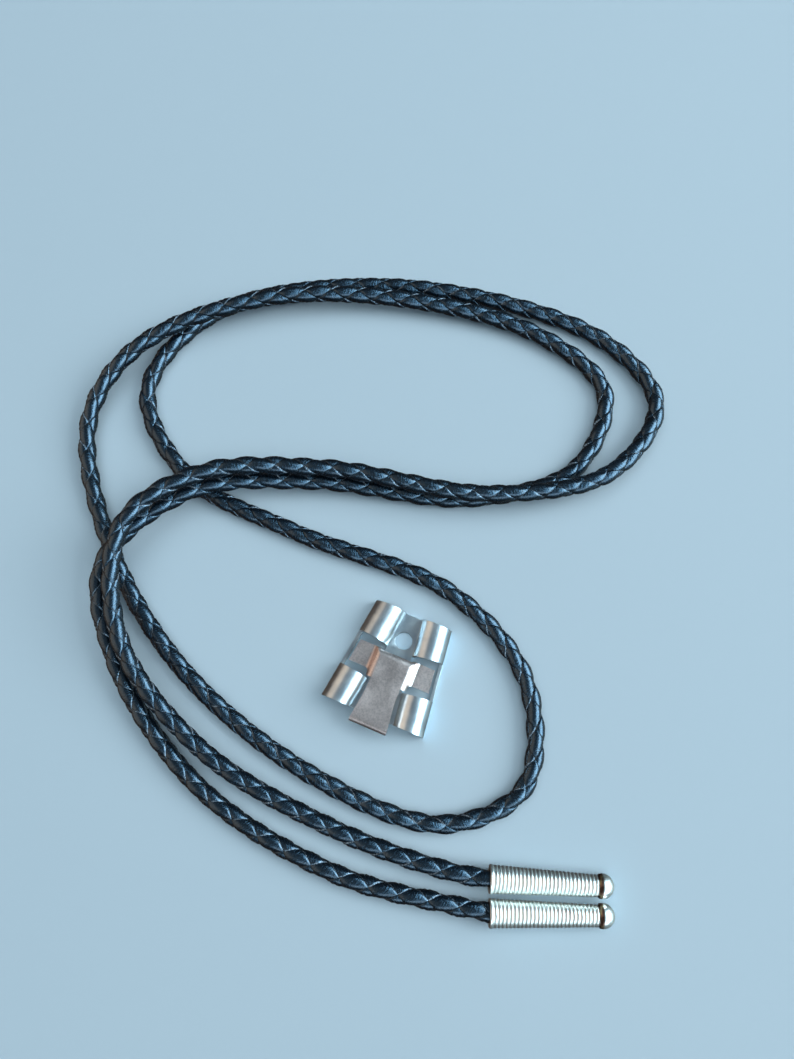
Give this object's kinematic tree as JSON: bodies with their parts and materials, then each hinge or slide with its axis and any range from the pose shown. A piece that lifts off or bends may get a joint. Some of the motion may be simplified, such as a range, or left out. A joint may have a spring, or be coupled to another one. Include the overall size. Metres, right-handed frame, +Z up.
{
  "type": "bolo tie",
  "caption": "Braided leather cord with a ribbed metal tip on each end, lying in loose loops beside its loose slide clasp with a flip-up lever.",
  "frame": {"origin": "middle of the clasp plate's flat web, on its underside, which lies on the table", "axes": "+Z up from the table; +X towards the viewer's right, the way both tips point; +Y away from the viewer"},
  "size_m": [0.1326, 0.1436, 0.013],
  "materials": {
    "cord_leather": "smooth black leather laces, round four-strand braid",
    "tip_metal": "bright silver plating, darker in the grooves",
    "clasp_metal": "nickel-plated steel sheet, polished",
    "lever_metal": "nickel-plated steel sheet, fine matte grain on the tongue"
  },
  "bodies": {
    "tie": {"cord": "cord_leather", "tip_a": "tip_metal", "tip_b": "tip_metal", "clasp_plate": "clasp_metal"},
    "lever": {"clasp_lever": "lever_metal"}
  },
  "joints": [
    {"name": "lever_hinge", "type": "hinge", "parent": "tie", "child": "lever", "pos_m": [-0.00004, -0.00009, 0.0032], "axis": [-0.9212, 0.3891, 0], "range_deg": [0, 90]}
  ]
}
